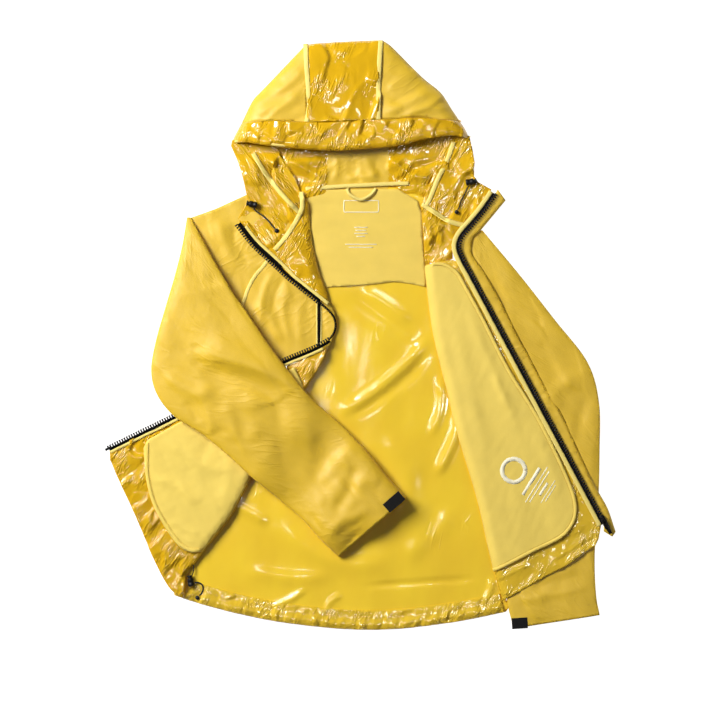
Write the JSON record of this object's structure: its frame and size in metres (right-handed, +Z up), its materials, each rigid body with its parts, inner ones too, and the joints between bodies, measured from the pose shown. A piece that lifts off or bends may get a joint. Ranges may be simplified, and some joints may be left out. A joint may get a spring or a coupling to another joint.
{
  "type": "hardshell jacket",
  "caption": "Hooded waterproof shell jacket lying open on its back, with folding fronts and sleeve, sliding zips, cord locks, cuff tabs and a hanging loop.",
  "frame": {"origin": "middle of the jacket's footprint, on the surface it lies on", "axes": "+Y towards the hood, +Z up off the surface, +X towards the wearer's left side"},
  "size_m": [0.8426, 0.97, 0.0488],
  "materials": {
    "coated_shell": "matte coated woven shell cloth",
    "matte_lining": "pale matte tape and yoke lining",
    "pocket_bag_cloth": "pale matte pocket bag cloth",
    "glossy_film": "shell cloth seen from inside, with a glossy waterproof film",
    "zip_black": "black zip teeth and tape",
    "zip_slider_black": "black painted slider metal",
    "zip_pull_black": "black moulded pull",
    "cord_lock_black": "black moulded cord lock",
    "cord_black": "black braided elastic cord",
    "hook_tape_black": "black hook and loop tape"
  },
  "bodies": {
    "jacket_body": {"back_panel": "coated_shell", "back_yoke_lining": "matte_lining", "collar_storm_flap": "coated_shell", "collar_zip": "zip_black", "hem_channel": "glossy_film", "hem_cord_tail": "cord_black", "hem_cord_tail_bead": "cord_lock_black", "hem_drawcord": "cord_black", "hem_lock_body": "cord_lock_black", "hood_cheek_left": "glossy_film", "hood_cheek_right": "glossy_film", "hood_cord_left": "cord_black", "hood_cord_left_bead": "cord_lock_black", "hood_cord_right": "cord_black", "hood_cord_right_bead": "cord_lock_black", "hood_lock_left_body": "cord_lock_black", "hood_lock_right_body": "cord_lock_black", "hood_neck_lining": "glossy_film", "left_cuff": "coated_shell", "left_side_panel": "pocket_bag_cloth", "left_sleeve_under": "coated_shell", "left_sleeve_upper": "coated_shell", "pocket_zip": "zip_black", "right_front_chest": "coated_shell", "right_front_facing": "glossy_film", "right_front_yoke": "coated_shell", "right_lapel": "glossy_film", "right_pocket_bag": "pocket_bag_cloth", "right_upper_arm_under": "coated_shell", "right_upper_arm_upper": "coated_shell", "right_zip_tape": "zip_black", "right_zip_teeth": "zip_black", "zip_insertion_pin": "zip_slider_black"},
    "left_front": {"left_front_shell": "glossy_film", "left_pocket_bag": "pocket_bag_cloth", "left_zip_facing": "matte_lining", "left_zip_tape": "zip_black", "left_zip_teeth": "zip_black", "left_storm_flap": "coated_shell", "zip_retainer_box": "zip_slider_black"},
    "main_zip_slider": {"main_slider": "zip_slider_black"},
    "main_zip_pull": {"main_pull": "zip_pull_black"},
    "pocket_zip_slider": {"pocket_slider": "zip_slider_black", "pocket_pull": "zip_pull_black"},
    "right_forearm": {"right_forearm_upper": "coated_shell", "right_forearm_under": "coated_shell", "right_cuff": "coated_shell"},
    "right_cuff_closure": {"right_cuff_tab": "hook_tape_black"},
    "left_cuff_closure": {"left_cuff_tab": "hook_tape_black"},
    "hood_crown": {"hood_back_panel": "coated_shell", "hood_center_panel": "glossy_film", "hood_side_panel_right": "coated_shell", "hood_side_panel_left": "coated_shell", "hood_brim": "glossy_film", "hood_drawcord": "cord_black"},
    "hood_lock_left_press": {"hood_lock_left_button": "cord_lock_black"},
    "hood_lock_right_press": {"hood_lock_right_button": "cord_lock_black"},
    "hem_lock_press": {"hem_lock_button": "cord_lock_black"},
    "hanging_loop": {"hanger_loop": "matte_lining"}
  },
  "joints": [
    {"name": "left_front_fold", "type": "hinge", "parent": "jacket_body", "child": "left_front", "pos_m": [0.194, -0.1445, 0.018], "axis": [0.1322, -0.9912, 0], "range_deg": [0, 120]},
    {"name": "main_slider_travel", "type": "slide", "parent": "left_front", "child": "main_zip_slider", "axis": [-0.4703, 0.8825, 0], "range_m": [0, 0.43]},
    {"name": "main_pull_flip", "type": "hinge", "parent": "main_zip_slider", "child": "main_zip_pull", "pos_m": [0.39647, -0.30188, 0.0201], "axis": [-0.8825, -0.4703, 0], "range_deg": [0, 165]},
    {"name": "pocket_slider_travel", "type": "slide", "parent": "jacket_body", "child": "pocket_zip_slider", "axis": [0, -1, 0], "range_m": [0, 0.13]},
    {"name": "right_sleeve_fold", "type": "hinge", "parent": "jacket_body", "child": "right_forearm", "pos_m": [-0.237, -0.063, 0.0315], "axis": [-0.7438, -0.6684, 0], "range_deg": [0, 100]},
    {"name": "right_cuff_tab_peel", "type": "hinge", "parent": "right_forearm", "child": "right_cuff_closure", "pos_m": [0.0661, -0.2616, 0.0322], "axis": [-0.6561, 0.7547, 0], "range_deg": [0, 110]},
    {"name": "left_cuff_tab_peel", "type": "hinge", "parent": "jacket_body", "child": "left_cuff_closure", "pos_m": [0.247, -0.47407, 0.0122], "axis": [0.0698, -0.9976, 0], "range_deg": [0, 110]},
    {"name": "hood_crown_lift", "type": "hinge", "parent": "jacket_body", "child": "hood_crown", "pos_m": [0, 0.315, 0.001], "axis": [1, 0, 0], "range_deg": [0, 45]},
    {"name": "hood_lock_left_button_press", "type": "slide", "parent": "jacket_body", "child": "hood_lock_left_press", "axis": [-0.9848, -0.1736, 0], "range_m": [0, 0.0024], "stiffness_N_per_m": 400},
    {"name": "hood_lock_right_button_press", "type": "slide", "parent": "jacket_body", "child": "hood_lock_right_press", "axis": [0.9781, -0.2079, 0], "range_m": [0, 0.0024], "stiffness_N_per_m": 400},
    {"name": "hem_lock_button_press", "type": "slide", "parent": "jacket_body", "child": "hem_lock_press", "axis": [0.1736, -0.9848, 0], "range_m": [0, 0.0024], "stiffness_N_per_m": 400},
    {"name": "hanger_loop_flip", "type": "hinge", "parent": "jacket_body", "child": "hanging_loop", "pos_m": [0, 0.244, 0.00745], "axis": [-1, 0, 0], "range_deg": [0, 90]}
  ]
}
